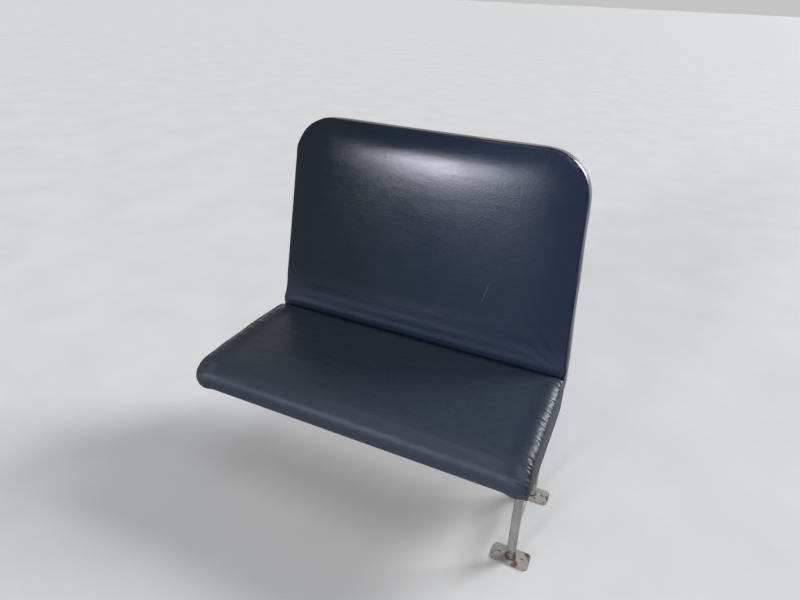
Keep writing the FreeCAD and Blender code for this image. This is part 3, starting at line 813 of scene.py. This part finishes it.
# Legs have scuffed the nose. Painted shade darkens the valleys between the gathers and a strip along the edge
# of the end panels.
scuffed = 0.5 * rise(-normals[:, 1], 0.3, 0.4)
slit = np.where(wrap, 0.30 * rise(folds, 0, -0.0012) * rise(away, 0.02, -0.02), 0)
slit = np.where(end < END_SEAM, np.maximum(slit, 0.9 * hill(deep, 0.0088, 0.0022)), slit)
for v, fold, dulled_and_sheen in zip(seat.verts, slit, scuffed):
    v[crease_shade], v[scuff_sheen] = float(min(fold, 1)), float(dulled_and_sheen)
bmesh.ops.transform(seat, matrix=SEAT, verts=seat.verts[:])
# The end panels outside the seams get a duller, matte copy of the vinyl, painted lighter in colour as a
# painted sheen.
for face in seat.faces:
    in_from_end = max(min(v.co.x - PAD_WALL, PAD_AISLE - v.co.x) for v in face.verts)
    if abs(face.normal.x) > 0.7 and in_from_end < 0.0075:
        face.material_index = 1
seat_pad = piece("seat_pad", seat, seat_vinyl, "cushion")
seat_pad.data.materials.append(end_sheen_vinyl)
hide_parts("seat_cushion")


def seat_ring(x):
    """The seam's path round one end, in place, open under the board."""
    ring = turned_under(evenly(outline_points(seat_sheet(END_SEAM, x)), SEAM_PITCH))
    return [SEAT @ Vector(p) for p in ring if p[2] > SEAT_LOW + 0.003]


def from_gap(path):
    """An open line starts at its widest gap."""
    gaps = [(path[i] - path[i - 1]).length for i in range(len(path))]
    first = gaps.index(max(gaps))
    return path[first:] + path[:first]


for name, x, seed in (("seat_aisle_seam", PAD_AISLE - END_SEAM, 13),
                      ("seat_wall_seam", PAD_WALL + END_SEAM, 14)):
    seam(name, seat_pad, from_gap(seat_ring(x)), 0.0012, 0.0016, -0.0001, seed, "cushion", seat_vinyl,
         closed=False)


# Cushion board: 12 mm plywood, bare underneath, its plies showing at the edge. The foam is glued to
# its top, and the straps and clips are screwed to its underside.
ply, tree, shader, place = finish_of("plywood", 0.62)
figure = node(tree, "TexNoise", {"Vector": stretch(tree, place, (2.2, 26, 26)), "Scale": 2.2, "Detail": 6.0,
                                 "Roughness": 0.6, "Distortion": 0.8}).outputs["Fac"]
colour = ramp(tree, figure, (0.32, (0.34, 0.215, 0.115)), (0.5, (0.46, 0.32, 0.18)),
              (0.68, (0.56, 0.41, 0.25)))
pores = step(tree, speckle(tree, stretch(tree, place, (30, 900, 900)), 1.0, 2), 0.56, 0.66)
colour = tint(tree, times(tree, pores, 0.35), colour, (0.20, 0.12, 0.065))
stain = step(tree, speckle(tree, place, 6, 5), 0.55, 0.75)
colour = tint(tree, times(tree, stain, 0.35), colour, (0.22, 0.15, 0.09))
tree.links.new(colour, shader.inputs["Base Color"])
tree.links.new(plus(tree, 0.5, times(tree, figure, 0.25)), shader.inputs["Roughness"])
tree.links.new(bumped(tree, minus(tree, figure, pores), 0.4, 0.0005), shader.inputs["Normal"])
refinish(ply, "cushion_board")


# Hem: the cover is pulled round the board's edges and stapled underneath, baggy between the staples,
# with its raw edge left as it was cut.
HEM_PITCH = 0.004
wall, aisle, front, rear = PAD_WALL + 0.0045, PAD_AISLE - 0.0045, -0.0518, 0.3526
board_face = [(wall, front, 0), (aisle, front, 0), (aisle, rear, 0), (wall, rear, 0)]
hem_line = evenly(outline_points(rounded_sheet(board_face, (0.004,) * 4)), HEM_PITCH)
hem_ahead = np.roll(hem_line, -1, axis=0) - np.roll(hem_line, 1, axis=0)
hem_inward = np.cross((0, 0, 1), hem_ahead / np.linalg.norm(hem_ahead, axis=1)[:, None])
# Across the hem, from its top on the board's edge to its raw edge underneath: in, up, how loose.
HEM_ROWS = [(0.0, 0.0264, 0), (0.0, 0.0205, 0), (0.0002, 0.0168, 0), (0.0014, 0.0150, 0),
            (0.0050, 0.0147, 0.6), (0.0100, 0.0147, 1), (0.0150, 0.0147, 1), (0.0195, 0.0148, 0.6),
            (0.0220, 0.0149, 0.2)]
bm = bmesh.new()
bmesh.ops.create_grid(bm, x_segments=len(hem_line), y_segments=len(HEM_ROWS) - 1, size=0.5)
pick = random.Random(41)
staple_at = np.cumsum([pick.uniform(0.032, 0.046) for k in range(66)])
for v in bm.verts:
    k = int(round((v.co.x + 0.5) * len(hem_line))) % len(hem_line)
    inward, up, loose = HEM_ROWS[int(round((v.co.y + 0.5) * (len(HEM_ROWS) - 1)))]
    ragged = 1 + 0.11 * noise.noise(Vector((k * 0.09, 3.0, 0)))
    free = 1 - float(hill(np.abs(staple_at - k * HEM_PITCH).min(), 0, 0.007))
    spot = hem_line[k] + hem_inward[k] * inward * ragged
    sag = loose * (0.0007 * free + 0.0002 * noise.noise(Vector((k * 0.24, inward * 90, 1))))
    v.co = SEAT @ Vector((spot[0], spot[1], up - sag))
bmesh.ops.remove_doubles(bm, verts=bm.verts[:], dist=0.00005)
hem = modified(bm, "SOLIDIFY", thickness=0.0007, offset=0.0)
bmesh.ops.recalc_face_normals(hem, faces=hem.faces[:])
piece("board_hem", hem, seat_vinyl, "cushion")


# Hinge straps and snap clips: bent zinc-plated spring steel, screwed under the board. The hem's staples
# and the screws are plated wire and steel like them.
zinc, tree, shader, place = finish_of("zinc_steel", 0.35, metal=0.9)
rust = use(tree, RUST, {"Place": place, "Cover": 0.22})
cloudy = speckle(tree, place, 120, 4)
colour = ramp(tree, cloudy, (0.35, (0.36, 0.35, 0.33)), (0.6, (0.50, 0.49, 0.46)), (0.75, (0.58, 0.56, 0.50)))
tree.links.new(tint(tree, rust["Mask"], colour, rust["Colour"]), shader.inputs["Base Color"])
tree.links.new(minus(tree, 0.9, times(tree, rust["Mask"], 0.75)), shader.inputs["Metallic"])
brushed = speckle(tree, stretch(tree, place, (40, 700, 700)), 1.0, 3)
tree.links.new(plus(tree, times(tree, rust["Mask"], 0.4), plus(tree, 0.26, times(tree, brushed, 0.2))),
               shader.inputs["Roughness"])
scored = plus(tree, rust["Height"], times(tree, brushed, 0.3))
tree.links.new(bumped(tree, scored, 0.4, 0.0003), shader.inputs["Normal"])
refinish(zinc, "hinge_clips", "snap_clips")

STAPLE_HALF, STAPLE_WIRE, STAPLE_LOW, STAPLE_IN = 0.0050, 0.00045, 0.0141, 0.0150
bm = bmesh.new()
for at in staple_at:
    k = int(round(at / HEM_PITCH))
    if k < len(hem_line):
        middle = hem_line[k] + hem_inward[k] * pick.uniform(0.011, 0.014)
        turn = math.atan2(hem_ahead[k][1], hem_ahead[k][0]) + pick.uniform(-0.35, 0.35)
        half = np.array([math.cos(turn), math.sin(turn), 0]) * STAPLE_HALF
        one, other = (middle - half)[:2], (middle + half)[:2]
        line = [(*one, STAPLE_IN), (*one, STAPLE_LOW), (*other, STAPLE_LOW), (*other, STAPLE_IN)]
        tube_along(bm, [SEAT @ Vector(p) for p in line], [STAPLE_WIRE] * 4, False)
piece("hem_staples", bm, zinc, "cushion")


def screw_head(profile):
    """A screw's head, turned from its outline, with a cross recess cut in."""
    bm = bmesh.new()
    made = [bm.verts.new((r, 0, z)) for r, z in profile]
    edges = [bm.edges.new(pair) for pair in zip(made, made[1:])]
    bmesh.ops.spin(bm, geom=made + edges, cent=(0, 0, 0), axis=(0, 0, 1), angle=2 * math.pi, steps=24,
                   use_merge=True)
    bmesh.ops.remove_doubles(bm, verts=bm.verts[:], dist=0.00001)
    bmesh.ops.recalc_face_normals(bm, faces=bm.faces[:])
    for long_x, long_y in ((0.0046, 0.0009), (0.0009, 0.0046)):
        slot = bmesh.new()
        bmesh.ops.create_cube(slot, size=1.0)
        bmesh.ops.scale(slot, vec=(long_x, long_y, 0.0024), verts=slot.verts[:])
        bmesh.ops.translate(slot, vec=(0, 0, profile[0][1]), verts=slot.verts[:])
        cutter = as_object("slot", slot)
        bm = modified(bm, "BOOLEAN", object=cutter, operation="DIFFERENCE", solver="EXACT")
        discard(cutter)
    bmesh.ops.remove_doubles(bm, verts=bm.verts[:], dist=0.00004)
    bmesh.ops.dissolve_degenerate(bm, edges=bm.edges[:], dist=0.00004)
    return bm


# Outlines of the two heads, from the middle of the face round to the middle of the back: out, up.
PAN = [(0, -0.0022), (0.0014, -0.0021), (0.0027, -0.0017), (0.0037, -0.0009), (0.0040, -0.0001),
       (0.0040, 0.0006), (0, 0.0006)]
FLUSH = [(0, -0.0001), (0.0040, -0.0001), (0.0041, 0.0001), (0.0014, 0.0022), (0, 0.0022)]
CLIP_AT, SCREW_APART = (-0.755, -0.155), 0.009
bm = bmesh.new()
pick = random.Random(17)
for profile, back, up in ((PAN, 0.0255, 0.0126), (FLUSH, 0.305, 0.0131)):
    head = screw_head(profile)
    mesh = bpy.data.meshes.new("head")
    head.to_mesh(mesh)
    head.free()
    for clip_x in CLIP_AT:
        for side in (-SCREW_APART, SCREW_APART):
            before = set(bm.verts)
            bm.from_mesh(mesh)
            turned = Matrix.Rotation(pick.uniform(0, 1.5), 4, "Z")
            placed = SEAT @ Matrix.Translation((clip_x + side, back, up)) @ turned
            bmesh.ops.transform(bm, matrix=placed, verts=[v for v in bm.verts if v not in before])
    bpy.data.meshes.remove(mesh)
screws = piece("clip_screws", bm, zinc, "cushion")
for face in screws.data.polygons:
    face.use_smooth = False


# Studio: a plain pale floor and soft light from above, a low light in front for the broad sheen on
# the back, and two from behind on the aisle side for the rims and the gathers.
floor_paint, tree, shader, place = finish_of("pale_floor", 0.8, specular=0.2)
tree.links.new(ramp(tree, speckle(tree, place, 3, 5), (0.3, (0.54, 0.54, 0.535)), (0.7, (0.58, 0.58, 0.575))),
               shader.inputs["Base Color"])
bm = bmesh.new()
bmesh.ops.create_grid(bm, x_segments=2, y_segments=2, size=60)
floor = as_object("floor", bm)
floor.data.materials.append(floor_paint)

world = bpy.data.worlds.new("studio")
bpy.context.scene.world = world
world.use_nodes = True
tree = world.node_tree
rays = node(tree, "LightPath").outputs
seen = maths(tree, "MAXIMUM", rays["Is Glossy Ray"], rays["Is Transmission Ray"])
seen = maths(tree, "MAXIMUM", rays["Is Camera Ray"], seen)
sky = tree.nodes["Background"].inputs
tree.links.new(tint(tree, seen, (0.20, 0.21, 0.23), (0.55, 0.55, 0.55)), sky["Color"])
sky["Strength"].default_value = 1.0


def lamp(name, at, look, power, angle, colour=(1, 1, 1)):
    """A far lamp: where it shines from, what at, how strongly, and how wide it looks in radians."""
    light = bpy.data.lights.new(name, "SUN")
    light.angle = angle
    light.energy = power
    light.color = colour
    made = bpy.data.objects.new(name, light)
    made.location = at
    made.rotation_euler = (Vector(look) - Vector(at)).to_track_quat("-Z", "Y").to_euler()
    bpy.context.scene.collection.objects.link(made)


lamp("overhead", (0.5, -1.6, 4.0), (-0.4, 0, 0), 1.3, 0.9)
lamp("window_front", (-2.36, -5.5, 2.14), (-0.35, 0.28, 0.93), 1.55, 0.17, (0.87, 0.88, 1.0))
lamp("window_rear", (3.0, 3.2, 3.9), (0, -0.1, 0.4), 2.5, 0.35, (0.96, 0.98, 1.0))
lamp("window_back", (1.4, 3.9, 1.45), (0, 0, 0.95), 0.9, 0.35)


# Camera: where the photographer stood, beside the aisle, looking back along the bus. The lens is a
# little wider than theirs, so that the feet show.
YAW, PITCH, ROLL = math.radians(23.56), math.radians(23.09), math.radians(-2.30)
STAND = (0.168, -1.359, 1.448)
FOCAL, WIDE, SENSOR = 605.0, 800, 36        # in pixels of an 800 px wide picture, and the sensor in mm
ahead = Vector((-math.sin(YAW) * math.cos(PITCH), math.cos(YAW) * math.cos(PITCH), -math.sin(PITCH)))
right = Vector((math.cos(YAW), math.sin(YAW), 0))
down = ahead.cross(right)
right, down = (right * math.cos(ROLL) + down * math.sin(ROLL),
               down * math.cos(ROLL) - right * math.sin(ROLL))
camera = bpy.data.objects.new("camera", bpy.data.cameras.new("camera"))
camera.data.sensor_width = SENSOR
camera.data.lens = FOCAL / WIDE * SENSOR
camera.data.shift_y = -0.075
camera.matrix_world = Matrix.Translation(STAND) @ Matrix((right, -down, -ahead)).transposed().to_4x4()
bpy.context.scene.collection.objects.link(camera)
bpy.context.scene.camera = camera
bpy.context.scene.view_settings.view_transform = "Standard"

bpy.context.view_layer.update()
